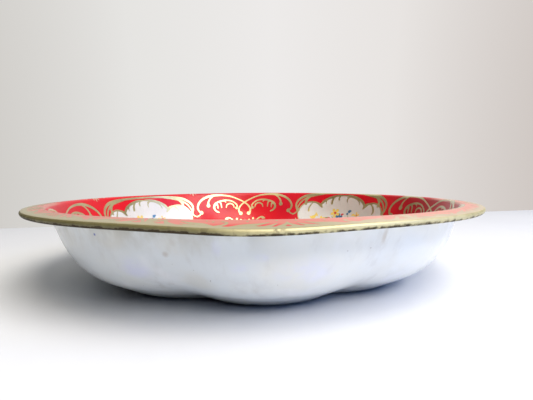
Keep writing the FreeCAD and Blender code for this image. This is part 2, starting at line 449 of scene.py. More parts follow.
def misprint(turn, v):
    """Where artwork lands: the print sits a little out of place on the pressed shape, but for
    its edge at the bead."""
    side = np.sin(turn - VIEW_TURN)
    lift = PRINT_LIFT * side * smooth((V_CURL - v) / 5)
    return turn + (PRINT_TURN - PRINT_SLIP * side) / PRINT_R, v + lift


PANEL_COLUMNS = 176
PANEL_X = (np.arange(PANEL_COLUMNS) + 0.5) / PANEL_COLUMNS * 2 - 1
PANEL_X = PANEL_X * HALF_LOBE * PRINT_R
WALL_V = np.arange(-16.0, V_WALL + 4.1, GRID_STEP)


def wall_print(name, panels, height, material):
    """A film on the wall. panels holds the artwork of the red and the white lobes, which take
    turns round the bowl, the red one first, at the front."""
    field = np.concatenate([panels[i % 2].field for i in range(LOBES)], axis=1)
    r, c, faces = contour(field, wrap=True)
    turn = ((c + 0.5) / PANEL_COLUMNS - 0.5) * 2 * HALF_LOBE
    v = np.interp(r, np.arange(len(WALL_V)), WALL_V)
    film(name, turn, v, height, faces, material)


def film(name, turn, v, height, faces, material):
    """A closed film that stands off the printed side by height, or less over the flange's bend,
    which is the bowl's highest place."""
    turn, v = misprint(turn, v)
    thick = BEND_HEIGHT + (height - BEND_HEIGHT) * smooth((V_WALL - v) / 2)
    height = np.minimum(height, thick)
    top = sheet_point(turn, v, SHEET + height)
    low = sheet_point(turn, v, SHEET - FILM_ROOT)
    return solid_print(name, top, low, faces, material)


def red_lobe(gold):
    """Gold scrolls on a red lobe. Only the left half is drawn, and mirrored."""
    gold.stroke((-41.0, 43.4, 1.5), (-42.6, 45.0, 1.6), (-43.4, 48.2, 1.7), (-41.2, 52.4, 1.8),
                (-36.4, 56.0, 1.9), (-29.0, 58.2, 1.9), (-20.0, 58.4, 1.5), (-11.8, 57.0, 1.2),
                (-5.4, 54.3, 1.1), (0, 51.3, 1.2), (3.4, 48.4, 1.4), (5.2, 45.2, 1.6),
                (4.9, 42.4, 1.6), (3.6, 41.0, 1.6), ball=1.7)
    gold.dot(-40.6, 43.4, 1.7)
    gold.stroke((-41.2, 44.0, 1.2), (-42.4, 41.4, 1.1), (-45.8, 39.9, 1.2))
    gold.stroke((-27.4, 58.0, 1.0), (-30.6, 55.8, 1.2), (-32.8, 52.6, 1.5), (-33.2, 49.4, 2.2),
                ball=1.7)
    gold.stroke((-23.8, 42.8, 1.2), (-26.4, 44.2, 1.6), (-28.0, 47.0, 1.9), (-26.8, 50.4, 1.9),
                (-22.8, 52.6, 1.5), (-17.0, 53.7, 1.3), (-11.6, 52.8, 1.2), (-7.8, 50.2, 1.2),
                (-6.6, 47.8, 1.1), (-7.4, 46.2, 1.1), ball=1.2)
    gold.stroke((-27.4, 49.6, 1.4), (-25.0, 50.0, 1.5), (-24.4, 46.6, 0.9))
    gold.stroke((-23.0, 52.4, 1.3), (-21.4, 50.8, 1.2), (-20.9, 47.0, 0.8))
    gold.stroke((-19.0, 53.3, 1.1), (-17.3, 52.6, 1.0), (-16.8, 51.6, 0.6))
    gold.stroke((-16.7, 46.9, 0.8), (-16.0, 49.4, 1.1), (-13.2, 50.6, 1.2), (-10.4, 49.4, 1.1),
                (-9.4, 46.8, 0.8))
    gold.stroke((-16.4, 36.0, 1.6), (-18.4, 36.0, 1.3), (-15.6, 37.2, 1.4), (-12.2, 35.4, 1.2),
                (-9.2, 31.6, 1.2), (-6.0, 26.0, 1.1), (0, 20.5, 0.7))
    gold.dot(-16.8, 36.1, 1.1)
    gold.dot(-7.6, 35.6, 1.1)
    gold.dot(-3.8, 34.4, 0.9)
    gold.dot(0, 33.8, 0.9)
    gold.stroke((0, 22, 0.6), (0, 27, 2.6), (0, 31.4, 0.7))
    gold.stroke((0, 6.5, 1.2), (-4.5, 12, 1.6), (-12, 17, 1.8), (-19.5, 22.5, 1.7),
                (-22.0, 28.2, 1.4), (-19.2, 31.8, 1.3), (-15.4, 30.8, 1.2), (-15.2, 28.2, 1.2),
                ball=1.3)
    gold.stroke((-22.5, 27.0, 0.8), (-26, 31.0, 1.4), (-31, 33.4, 1.2), (-36.0, 32.6, 0.5))
    gold.stroke((-21, 22.5, 0.8), (-27, 26, 1.5), (-33.5, 27.5, 1.4), (-37.5, 25, 1.2),
                (-37.4, 21.8, 1.2), ball=1.3)
    gold.stroke((-45.6, 33, 1.1), (-43.0, 25, 1.4), (-39.5, 17, 1.5), (-32, 11, 1.5),
                (-22, 9.5, 1.3), (-17.5, 12.0, 1.2), (-19.5, 14.8, 1.2), ball=1.2)
    gold.stroke((-28, 16, 0.6), (-30.5, 19.5, 1.4), (-29.5, 23, 0.5))


def white_lobe(gold, cloud, claws):
    """A white panel with a clouded edge, framed in gold. The claws inside its edge, drawn as
    seen from inside, are not mirrored."""
    claws.stroke((-15.3, 53.0, 0.9), (-16.2, 51.4, 0.9), (-15.9, 49.5, 0.5))
    claws.stroke((-8.6, 56.0, 1.2), (-10.5, 53.0, 1.6), (-11.0, 49.9, 2.0), ball=0.9)
    claws.stroke((-3.6, 56.6, 1.3), (-4.8, 54.6, 1.3), (-4.4, 53.0, 1.1))
    claws.stroke((5.0, 56.0, 1.1), (3.1, 53.6, 1.0), (3.3, 51.2, 0.6))
    claws.stroke((3.0, 55.2, 0.8), (6.5, 55.8, 0.9), (11.0, 54.6, 0.9), (14.6, 52.0, 0.9),
                 (15.8, 49.4, 0.6))
    claws.stroke((21.5, 50.0, 0.8), (25.5, 50.8, 1.0), (29.2, 48.4, 1.5), (31.2, 44.8, 1.8),
                 (30.4, 42.5, 1.2))
    claws.stroke((-28.5, 50.6, 0.8), (-31.4, 46.2, 1.2), (-31.9, 43.0, 0.8))
    gold.field = np.minimum(gold.field, claws.field)
    for cx, cy, half_w, half_h in (
        (0, 42, 22.6, 15.2), (30.0, 41.0, 11.4, 10.2), (31.5, 27, 9.5, 10.5),
        (22, 15.5, 10.5, 9.5), (0, 13.5, 13.5, 9.5), (0, 28, 29, 16),
    ):
        cloud.oval(cx, cy, half_w, half_h)
    gold.field = np.minimum(gold.field, np.abs(cloud.field + 0.1) - 0.4)
    gold.stroke((-41.0, 43.6, 0.8), (-36.6, 49.2, 1.2), (-30.0, 51.2, 1.3), (-24.4, 50.2, 1.6),
                (-21.0, 48.0, 2.2), (-19.4, 46.2, 0.8))
    gold.stroke((-21.4, 48.6, 1.0), (-18.6, 51.8, 1.7), (-13.6, 54.6, 2.0), (-6.8, 56.7, 1.8),
                (-1.0, 57.1, 1.2))
    gold.stroke((-46.0, 39.9, 1.2), (-43.4, 41.2, 1.2), (-42.2, 43.6, 1.3), (-43.2, 46.4, 1.5),
                (-43.2, 50.2, 1.7), (-40.4, 53.8, 1.9), (-34.8, 56.8, 2.1), (-26.0, 58.4, 1.9),
                (-14.0, 59.1, 1.5), (0, 59.4, 1.3))
    gold.stroke((-42.4, 44.4, 1.0), (-40.9, 48.4, 1.2), (-38.0, 52.2, 1.3), (-32.6, 55.4, 1.4),
                (-26.4, 57.0, 1.3), (-19.0, 58.2, 0.8))
    gold.dot(-41.2, 43.9, 1.6)
    gold.stroke((-29.6, 56.6, 1.0), (-32.8, 54.6, 1.5), (-34.8, 51.8, 1.9), (-34.6, 49.2, 1.9),
                ball=1.1)
    gold.stroke((-45.0, 33, 1.1), (-44.0, 25, 1.4), (-41.0, 16, 1.5), (-33.5, 8.5, 1.5),
                (-22, 4.6, 1.3), (-14.5, 5.5, 1.2), ball=1.2)
    gold.stroke((-44.4, 28, 0.9), (-42.2, 32, 1.3), (-42.6, 36.4, 0.5))


def flower(inks, petal, heart, x, y, size, count=5, tilt=0.3):
    """Round petals about a heart."""
    for k in range(count):
        a = tilt + 2 * pi * k / count
        c, d = size * cos(a), size * sin(a)
        inks[petal].stroke((x + 0.25 * c, y + 0.25 * d, 0.3 * size),
                           (x + 0.68 * c, y + 0.68 * d, 0.62 * size))
    inks[heart].dot(x, y, 0.26 * size)


def leaf(inks, x, y, length, angle, width=1.6):
    """A pointed leaf that bends a little."""
    c, d = length * cos(angle), length * sin(angle)
    inks["green"].stroke((x, y, 0.4), (x + 0.5 * c - 0.1 * d, y + 0.5 * d + 0.1 * c, width),
                         (x + c, y + d, 0.3))


def posy(inks):
    """Small flowers and leaves in the middle of a white lobe, drawn as seen from inside."""
    for stem in (
        ((0, 16, 0.7), (-1, 23, 0.7), (-4.5, 31, 0.6), (-9.5, 38.5, 0.5)),
        ((0.5, 16, 0.7), (2.5, 24, 0.7), (3.2, 31, 0.6), (0.6, 38, 0.5)),
        ((1, 18, 0.7), (6, 26, 0.7), (8.5, 33, 0.6), (5.0, 40.6, 0.5)),
        ((-1, 18, 0.7), (-9, 25, 0.7), (-18, 30, 0.6), (-26.5, 36.0, 0.5)),
        ((1, 18, 0.7), (9, 23, 0.6), (14, 30, 0.6), (14.6, 39.0, 0.5)),
    ):
        inks["green"].stroke(*stem)
    for x, y, length, angle in (
        (-1, 20, 6, 2.6), (1, 21, 6, 0.5), (-2.6, 28, 5, 2.3), (3.0, 28, 5, 0.7), (8, 28.5, 5, 0.1),
        (-9, 25.5, 5, 3.0), (-16, 30, 4, 2.2), (12, 26, 5, -0.5), (-6.5, 34, 4, 2.6),
        (8, 34, 4, 0.6), (13.6, 35, 3.5, 2.6), (-14, 28.5, 4, -1.9), (14.6, 33, 4, 0.9),
        (-12.4, 37.4, 3.6, 3.3), (12, 38.4, 3.0, 3.4), (0, 18, 5, 3.6), (0.6, 18, 5, -0.5),
    ):
        leaf(inks, x, y, length, angle)
    for x, y, length, angle in (
        (-25.0, 36.4, 5.2, 2.8), (-24.8, 36.2, 4.6, 1.5), (-22.4, 38.2, 4.4, 2.1),
        (-28.4, 37.2, 3.4, 0.3), (9.4, 40.0, 3.2, 0.3),
    ):
        leaf({"green": inks["yellow"]}, x, y, length, angle, 1.8)
    for petal, heart, x, y, size, count, tilt in (
        ("yellow", "rose", -6.8, 41.6, 4.3, 5, 0.9), ("blue", "white", -2.6, 37.9, 3.6, 5, 0.4),
        ("rose", "yellow", -12.6, 33.6, 4.2, 6, 0.3), ("rose", "yellow", 2.6, 31.0, 5.0, 6, 0.3),
        ("yellow", "rose", -18.6, 35.2, 3.4, 5, 0.6), ("yellow", "rose", 14.4, 40.6, 2.7, 4, 0.2),
        ("blue", "yellow", -20.6, 30.0, 3.0, 5, 0.8), ("blue", "yellow", 10.6, 34.0, 3.4, 5, 0.2),
        ("yellow", "rose", 20.4, 33.6, 3.0, 5, 0.8),
    ):
        flower(inks, petal, heart, x, y, size, count, tilt)
    inks["blue"].dot(5.0, 41.2, 1.05)
    inks["blue"].dot(6.7, 43.4, 1.3)
    inks["blue"].dot(7.9, 43.9, 0.8)
    inks["rose"].oval(0.2, 40.7, 1.5, 0.7)
    inks["rose"].dot(0.0, 39.9, 0.7)
    inks["yellow"].dot(-31.4, 43.2, 0.8)
    inks["yellow"].dot(-31.2, 44.6, 0.6)


PRINTS = ("white", "gold", "green", "blue", "yellow", "rose")


def print_wall(materials):
    """The films on the wall."""
    red_panel, white_panel = (
        {n: Ink(PANEL_X, WALL_V, (1, -1) if n in ("white", "gold") else (-1,)) for n in PRINTS}
        for _ in range(2)
    )
    red_lobe(red_panel["gold"])
    white_lobe(white_panel["gold"], white_panel["white"], Ink(PANEL_X, WALL_V, (-1,)))
    posy(white_panel)
    for n in PRINTS:
        wall_print(f"print_{n}_wall", (red_panel[n], white_panel[n]), FILM_HEIGHT[n], materials[n])


FLANGE_R = 121.6
FLANGE_COLUMNS = 204
FLANGE_ROWS = 34


def print_flange(material):
    """The flange's gold border: a band beside the bead, leaves that curl inwards from it, and a
    palmette at each crease."""
    period = 2 * pi / LOBES * FLANGE_R
    x = ((np.arange(FLANGE_COLUMNS) + 0.5) / FLANGE_COLUMNS - 0.5) * period
    depth = V_CURL - V_WALL
    y = np.linspace(-depth - 3.5, 0.45, FLANGE_ROWS)
    gold = Ink(x, y, (1, -1), period=period)
    gold.stroke((-period, -0.4, 2.6), (0, -0.4, 2.8), (period, -0.4, 2.6))
    for leaf_line in (
        ((-4, -1.2, 1.4), (-1.6, -2.9, 1.7), (-0.4, -4.4, 1.0), (0, -6.0, 0.3)),
        ((-9, -1.2, 1.8), (-5.8, -2.8, 1.4), (-3.4, -4.8, 0.4)),
        ((-19, -1.2, 1.8), (-15.0, -3.0, 1.9), (-9.4, -4.2, 1.3), (-6.2, -5.6, 0.4)),
        ((-16, -1.2, 1.2), (-11.6, -2.3, 0.9), (-8.8, -2.8, 0.4)),
        ((-25, -1.2, 1.2), (-21.4, -3.2, 1.2), (-20.6, -5.2, 0.9), (-22.6, -6.0, 0.5)),
        ((-25, -1.2, 1.8), (-28.6, -3.0, 1.9), (-33.4, -3.9, 1.3), (-37.0, -5.4, 0.4)),
        ((-28, -1.2, 1.2), (-33.0, -2.2, 1.0), (-36.4, -2.9, 0.4)),
        ((-38, -1.2, 1.6), (-41.0, -2.9, 1.6), (-42.4, -4.9, 1.0), (-41.4, -6.4, 0.5)),
        ((-47, -1.2, 2.0), (-47.6, -4.4, 1.5), (-47.7, -7.4, 1.4), (-47.8, -9.6, 0.4)),
        ((-47, -3.0, 1.2), (-45.9, -6.2, 1.3), (-45.2, -8.8, 0.4)),
        ((-46, -2.0, 1.1), (-44.0, -4.8, 1.1), (-42.6, -7.2, 0.4)),
    ):
        gold.stroke(*leaf_line)
    for cx, cy in ((-25.4, -5.6), (-27.8, -6.2), (-13.6, -6.4), (-3.4, -7.0), (-38.2, -7.2)):
        gold.dot(cx, cy, 0.5)
    field = np.concatenate([gold.field] * LOBES, axis=1)
    r, c, faces = contour(field, wrap=True)
    turn = (c + 0.5) / field.shape[1] * 2 * pi - HALF_LOBE
    v = V_CURL + np.interp(r, np.arange(len(y)), y)
    film("print_gold_flange", turn, v, FLANGE_HEIGHT, faces, material)


MEDALLION_R = 36
SCALLOPS = 2 * LOBES
RING_R = 52.6


def print_floor(materials):
    """A white medallion with a bouquet, on the flat panel in the middle of the base."""
    grid = np.arange(-54.0, 54.1, GRID_STEP)
    inks = {n: Ink(grid, grid) for n in PRINTS}
    white, gold = inks["white"], inks["gold"]
    white.oval(0, 0, MEDALLION_R, MEDALLION_R)
    for k in range(SCALLOPS):
        a = 2 * pi * k / SCALLOPS
        white.dot(34 * cos(a), 34 * sin(a), 8.0)
    gold.field = np.abs(white.field + 0.1) - 0.6
    for k in range(SCALLOPS):
        a = 2 * pi * (k + 0.5) / SCALLOPS
        gold.home = (0, 0, a)
        for side in (1, -1):
            gold.stroke((42, side, 0.5), (44.6, 4.4 * side, 1.4), (47.8, 5.4 * side, 1.3),
                        (49.4, 3.0 * side, 1.1), (47.6, 1.4 * side, 1.0), ball=0.9)
        gold.stroke((40.4, 0, 0.6), (43.4, 0, 2.0), (46.2, 0, 0.5))
        gold.dot(51.0, 0, 0.8)
    gold.home = (0, 0, 0)
    gold.field = np.minimum(gold.field, np.abs(np.hypot(gold.x, gold.y) - RING_R) - 0.45)
    for k in range(9):
        a = 2 * pi * k / 9 + 0.2
        c, d = cos(a), sin(a)
        inks["green"].stroke((4 * c, 4 * d, 0.8), (14 * c - 3 * d, 14 * d + 3 * c, 0.8),
                             (23 * c, 23 * d, 0.6))
        for r, bend, length in ((12, 0.9, 8), (13, -0.7, 8), (18, 0.6, 7), (18.5, -0.9, 6)):
            leaf(inks, r * c, r * d, length, a + bend, 2.6)
    for petal, heart, x, y, size, count, tilt in (
        ("rose", "yellow", -1, 1, 9.5, 7, 0.2), ("blue", "yellow", 13, 7.5, 6.4, 5, 0.6),
        ("yellow", "rose", -13.5, 8, 6.2, 6, 0.1), ("rose", "yellow", 11, -11, 6.0, 6, 0.9),
        ("blue", "yellow", -11, -11.5, 6.0, 5, 0.2), ("yellow", "rose", 0.5, 16.5, 5.6, 6, 0.4),
        ("blue", "yellow", 0, -19, 4.4, 5, 0.9), ("rose", "yellow", -21.5, -2.5, 4.6, 5, 0.3),
        ("yellow", "rose", 22, -1.5, 4.4, 5, 0.2), ("blue", "yellow", -9.5, 22, 3.6, 5, 0.5),
        ("rose", "yellow", 11, 21.5, 3.8, 5, 0.1), ("yellow", "rose", -20, -17, 3.4, 5, 0.7),
        ("yellow", "rose", 20.5, -16.5, 3.6, 5, 0.0),
    ):
        flower(inks, petal, heart, x, y, size, count, tilt)
    for n in PRINTS:
        r, c, faces = contour(inks[n].field, wrap=False)
        x, y = grid[0] + GRID_STEP * c, grid[0] + GRID_STEP * r
        z = PANEL_RISE + SHEET
        top = np.stack([x, y, np.full_like(x, z + FILM_HEIGHT[n])], -1)
        low = np.stack([x, y, np.full_like(x, z - FILM_ROOT)], -1)
        solid_print(f"print_{n}_floor", top, low, faces, materials[n])


# ---------------------------------------------------------------- materials

STAINS = (
    ((-41.8, -100.6, 27.9), (2.0, 3.0, 2.0), 0.42),
    ((-40.4, -101.0, 31.0), (2.6, 4.0, 4.5), 0.14),
    ((-38.6, -103.4, 33.6), (2.2, 4.0, 3.4), 0.30),
    ((39.9, -105.0, 35.0), (1.9, 3.0, 6.5), 0.34),
    ((39.9, -103.0, 31.0), (3.0, 4.0, 8.0), 0.14),
)
# Painted reflections: bluish blotches on the front of the enamel, each a centre, a size and an
# amount, in millimetres.
BLUE_REFLECTIONS = (
    ((-55.0, -92.5, 21.0), (10.0, 8.0, 7.0), 0.75),
    ((-23.5, -110.0, 31.0), (2.6, 4.0, 5.0), 0.5),
    ((-15.6, -109.0, 23.5), (4.5, 4.0, 3.0), 0.5),
    ((-7.6, -112.0, 27.4), (3.5, 4.0, 2.2), 0.45),
    ((9.0, -109.5, 21.0), (15.0, 8.0, 8.0), 0.5),
)
CLOUDS = (
    ((-30.0, -98.6, 17.0), (10.0, 8.0, 8.0), 0.5),
    ((-63.0, -93.5, 33.0), (13.0, 8.0, 6.0), 0.5),
    ((-36.5, -105.0, 31.0), (12.0, 8.0, 7.0), 0.45),
    ((45.0, -99.0, 20.0), (9.0, 9.0, 8.0), 0.35),
)
BLUE_SPECK = (-70.0, -89.9, 34.0)
CHIP = (-3.6, -127.0, 39.4)
SMUDGE = (87.7, 78.8, 29.0)


class Look:
    """A material whose colour, gloss and relief vary from place to place."""

    def __init__(self, name):
        self.material = bpy.data.materials.new(name)
        self.material.use_nodes = True
        self.tree = self.material.node_tree
        self.shader = self.tree.nodes["Principled BSDF"]
        self.place = self.tree.nodes.new("ShaderNodeTexCoord").outputs["Object"]

    def feed(self, socket, value):
        """Links a socket, or sets it where the value is plain."""
        if isinstance(value, bpy.types.NodeSocket):
            self.tree.links.new(value, socket)
        else:
            colour = socket.type == "RGBA"
            socket.default_value = (*value, 1.0) if colour else value

    def add(self, kind, inputs, **settings):
        node = self.tree.nodes.new(kind)
        for key, value in settings.items():
            setattr(node, key, value)
        for key, value in inputs.items():
            self.feed(node.inputs[key], value)
        return node

    def moved(self, centre_mm, size):
        """The place seen from a centre, measured in a size along each axis."""
        return self.add("ShaderNodeMapping", {
            "Vector": self.place, "Location": [c * MM for c in centre_mm], "Scale": size
        }, vector_type="TEXTURE").outputs[0]

    def along(self, axis, low, high, top=1.0):
        """A soft step along the x, y or z axis, between two places in millimetres."""
        parts = self.add("ShaderNodeSeparateXYZ", {0: self.place}).outputs
        return self.step(parts["XYZ".index(axis)], low * MM, high * MM, top)

    def front_left(self, low, high):
        """A soft step on the bowl's front, from 0 at one x to 1 further left."""
        return self.maths("MULTIPLY", self.along("X", low, high), self.along("Y", 60, 0))

    def noise(self, size_mm, detail=3.0, stretch=(1, 1, 1), seed=0.0):
        """Cloudy noise with lumps of about a size."""
        return self.add("ShaderNodeTexNoise", {
            "Vector": self.moved((seed, -seed, seed), stretch), "Scale": 0.5 / (size_mm * MM),
            "Detail": detail, "Roughness": 0.6,
        }).outputs[0]

    def step(self, value, low, high, top=1.0):
        """A soft step from 0 at low to top at high."""
        return self.add("ShaderNodeMapRange", {
            "Value": value, "From Min": low, "From Max": high, "To Min": 0.0, "To Max": top
        }, interpolation_type="SMOOTHSTEP").outputs[0]

    def maths(self, operation, a, b):
        return self.add("ShaderNodeMath", {0: a, 1: b}, operation=operation).outputs[0]

    def blend(self, amount, a, b):
        """A colour between two."""
        return self.add("ShaderNodeMix", {0: amount, 6: a, 7: b}, data_type="RGBA").outputs[2]

    def between(self, amount, low, high):
        """A number between two."""
        return self.add("ShaderNodeMapRange", {
            "Value": amount, "To Min": low, "To Max": high
        }).outputs[0]

    def spot(self, centre_mm, size_mm):
        """1 in the middle of a blot, 0 outside it."""
        away = self.moved(centre_mm, [s * MM for s in size_mm])
        return self.step(self.add("ShaderNodeVectorMath", {0: away}, operation="LENGTH").outputs[1],
                         1.0, 0.3)

    def finish(self, colour, roughness, height=None, relief_mm=0.02, **rest):
        self.feed(self.shader.inputs["Base Color"], colour)
        self.feed(self.shader.inputs["Roughness"], roughness)
        for key, value in rest.items():
            self.feed(self.shader.inputs[key.replace("_", " ").title()], value)
        if height is not None:
            bump = self.add("ShaderNodeBump", {
                "Height": height, "Distance": relief_mm * MM, "Strength": 1.0
            }).outputs[0]
            self.feed(self.shader.inputs["Normal"], bump)
        return self.material


def enamel_look():
    """White stoved enamel with an uneven tone, faint stains, drips and specks, and painted light:
    bluish painted reflections on the front, grime and painted shade high on the front left and on
    the foot, and a painted contact shadow along the base.
    """
    look = Look("enamel")
    cloud = look.noise(34, 4)
    colour = look.blend(look.step(cloud, 0.38, 0.66), (0.76, 0.81, 0.85), (0.80, 0.81, 0.775))
    streak = look.noise(5, 5, (1, 1, 5), 40)
    colour = look.blend(look.step(streak, 0.52, 0.8, 0.45), colour, (0.56, 0.555, 0.54))
    pale = look.noise(13, 3, (1, 1, 1), 90)
    colour = look.blend(look.step(pale, 0.56, 0.68, 0.5), colour, (0.86, 0.88, 0.93))
    # Grime and painted shade: darker high on the wall under the rim, on the front left.
    upper = look.maths("MULTIPLY", look.along("Z", 24, 40, 0.8), look.front_left(8, -25))
    grime_and_shade = look.maths("MULTIPLY", upper,
                       look.step(look.noise(9, 5, (1, 1, 2), 15), 0.36, 0.62))
    colour = look.blend(grime_and_shade, colour, (0.45, 0.44, 0.38))
    # Bluish painted reflections on the front, and a few warmer grey patches.
    for patches, tone in ((BLUE_REFLECTIONS, (0.72, 0.75, 0.93)), (CLOUDS, (0.72, 0.715, 0.66))):
        for centre, size, amount in patches:
            ragged = look.step(look.noise(7, 3, (1, 1, 1), centre[2]), 0.3, 0.6, amount)
            patch = look.maths("MULTIPLY", look.spot(centre, size), ragged)
            colour = look.blend(patch, colour, tone)
    # Grime and painted shade on the foot: darker towards the base, where the low wall faces the
    # shaded table.
    foot = look.maths("MULTIPLY", look.along("Z", 6.5, 3.5, 0.5),
                      look.step(look.noise(6, 5, (1, 1, 1), 63), 0.2, 0.5))
    colour = look.blend(foot, colour, (0.30, 0.295, 0.27))
    # Painted contact shadow: near black in the lowest 1.4 mm, where the base meets the table.
    colour = look.blend(look.along("Z", 1.4, 0.5, 0.95), colour, (0.02, 0.02, 0.02))
    for centre, size, amount in STAINS:
        blot = look.maths("MULTIPLY", look.spot(centre, size),
                          look.step(look.noise(1.6, 4, (1, 1, 1.6), centre[0]), 0.25, 0.55, amount))
        colour = look.blend(blot, colour, (0.36, 0.26, 0.17))
    speck = look.step(look.noise(1.1, 2, (1, 1, 1), 7), 0.75, 0.775, 0.7)
    colour = look.blend(speck, colour, (0.22, 0.20, 0.19))
    colour = look.blend(look.spot(BLUE_SPECK, (0.9, 0.9, 0.9)), colour, (0.12, 0.16, 0.45))
    rough = look.between(look.noise(16, 4, (1, 1, 1), 21), 0.10, 0.26)
    relief = look.maths("ADD", look.noise(22, 2), look.maths("MULTIPLY", look.noise(1.6, 2), 0.06))
    return look.finish(colour, rough, relief, 0.9)


def print_look(name, colour, worn, metallic=0.0, coat=0.7, grain_mm=9.0, painted_shade=None,
               smudge=None):
    """Printing ink under a clear lacquer, worn paler and rubbed in patches. It may be darker on the
    front left, painted shade, and may have a brown smudge somewhere."""
    look = Look(name)
    patch = look.noise(grain_mm, 5)
    tone = look.blend(look.step(patch, 0.35, 0.7), colour, worn)
    # Painted shade: darker towards the front left.
    if painted_shade:
        tone = look.blend(look.maths("MULTIPLY", look.front_left(45, 0), 0.85), tone, painted_shade)
    if smudge:
        blot = look.maths("MULTIPLY", look.spot(smudge, (4.5, 6, 10)),
                          look.step(look.noise(2.5, 3, (1, 1, 3), 8), 0.3, 0.7, 0.6))
        tone = look.blend(blot, tone, (0.42, 0.27, 0.15))
    rub = look.step(look.noise(0.9, 4, (1, 1, 1), 12), 0.64, 0.74, 0.6)
    tone = look.blend(rub, tone, [0.55 * c + 0.10 for c in worn])
    rough = look.between(look.noise(3.0, 4, (1, 1, 1), 33), 0.28, 0.5)
    return look.finish(tone, rough, look.noise(2.2, 3), 0.05, metallic=metallic, coat_weight=coat,
                       coat_roughness=0.14)


def red_look():
    """Red ink under lacquer, with hair scratches and pinholes down to the tin, and a painted
    reflection that pales the front of the flange, with painted shade on its left.
    """
    look = Look("red_print")
    tone = look.blend(look.step(look.noise(26, 4), 0.36, 0.68), (0.60, 0.011, 0.020),
                      (0.50, 0.009, 0.022))
    scratch = look.step(look.noise(1.2, 3, (9, 1, 1), 50), 0.70, 0.78, 0.35)
    tone = look.blend(scratch, tone, (0.62, 0.12, 0.10))
    pinhole = look.step(look.noise(0.8, 2, (1, 1, 1), 18), 0.745, 0.77, 0.9)
    tone = look.blend(pinhole, tone, (0.26, 0.20, 0.16))
    rough = look.between(look.noise(11, 4, (1, 1, 1), 5), 0.25, 0.42)
    relief = look.maths("ADD", look.noise(14, 2), look.maths("MULTIPLY", look.noise(1.4, 2), 0.08))
    # Painted reflection: the front of the flange paled towards pink beige; painted shade makes it
    # darker on the front left.
    flange_sheen = look.maths("MULTIPLY", look.along("Z", 39.9, 40.8, 0.8), look.along("Y", 5, -15))
    pale = look.blend(look.front_left(45, 0), (0.64, 0.34, 0.27), (0.50, 0.20, 0.15))
    tone = look.blend(flange_sheen, tone, pale)
    look.shader.inputs["Specular IOR Level"].default_value = 0.2
    return look.finish(tone, rough, relief, 0.35, coat_weight=0.12, coat_roughness=0.12)


def bead_look():
    """Gold on the rolled edge, darker on one side of the front with tarnish and painted shade, and
    rubbed through to dark metal and rust underneath, which also serves as painted shade under the
    bead."""
    look = Look("bead_gold")
    tone = look.blend(look.step(look.noise(7, 4), 0.38, 0.66), (0.54, 0.50, 0.29),
                      (0.44, 0.40, 0.21))
    # Tarnish and painted shade: the bead darker on the front left.
    tarnish_and_shade = look.maths("MULTIPLY", look.front_left(-11, -34), 0.85)
    tone = look.blend(tarnish_and_shade, tone, (0.15, 0.135, 0.045))
    up = look.add("ShaderNodeSeparateXYZ", {0: look.add("ShaderNodeNewGeometry", {}).outputs[1]})
    # Wear and painted shade: faces turned downwards are rubbed darker, to rust and bare metal,
    # which also paints the shade under the bead.
    below = look.step(up.outputs[2], 0.15, -0.75, 0.47)
    wear = look.maths("ADD", look.step(look.noise(1.8, 5, (1, 1, 1), 3), 0.34, 0.64, 0.50), below)
    wear = look.maths("ADD", wear, look.maths("MULTIPLY", tarnish_and_shade, 0.2))
    both = look.maths("MULTIPLY", tarnish_and_shade, below)
    wear = look.maths("ADD", wear, look.maths("MULTIPLY", both, 0.5))
    wear = look.maths("ADD", wear, look.maths("MULTIPLY", look.spot(CHIP, (2.6, 3, 1.6)), 0.3))
    rust = look.step(wear, 0.40, 0.80)
    bare = look.step(wear, 0.76, 0.86)
    shade = look.maths("MULTIPLY", look.step(up.outputs[2], 0.75, -0.5, 0.6), tarnish_and_shade)
    blotch = look.step(look.noise(2.4, 5, (1, 1, 1), 27), 0.30, 0.62)
    tone = look.blend(look.maths("MULTIPLY", shade, blotch), tone, (0.035, 0.032, 0.010))
    tone = look.blend(rust, tone, (0.13, 0.11, 0.05))
    tone = look.blend(bare, tone, (0.050, 0.038, 0.020))
    rough = look.between(rust, 0.50, 0.65)
    relief = look.maths("SUBTRACT", 1.0, bare)
    metal = look.between(rust, 0.35, 0.1)
    look.feed(look.shader.inputs["Specular IOR Level"], look.between(bare, 0.5, 0.12))
    return look.finish(tone, rough, relief, 0.06, metallic=metal,
                       coat_weight=look.between(bare, 0.1, 0.0))


def wire_look():
    """Drawn steel wire with a little rust."""
    look = Look("steel")
    rust = look.step(look.noise(3, 5), 0.5, 0.66, 0.8)
    tone = look.blend(rust, (0.42, 0.41, 0.40), (0.20, 0.10, 0.05))
    return look.finish(tone, look.between(rust, 0.35, 0.8), look.noise(0.4, 3), 0.02,
                       metallic=look.between(rust, 1.0, 0.2))


def table_look():
    """A matt white table top with a faint unevenness."""
    look = Look("table_top")
    tone = look.blend(look.step(look.noise(70, 4), 0.35, 0.7), (0.72, 0.75, 0.785),
                      (0.70, 0.73, 0.77))
    return look.finish(tone, look.between(look.noise(30, 3), 0.5, 0.65), look.noise(3, 3), 0.02)


# ---------------------------------------------------------------- wire, table and lights


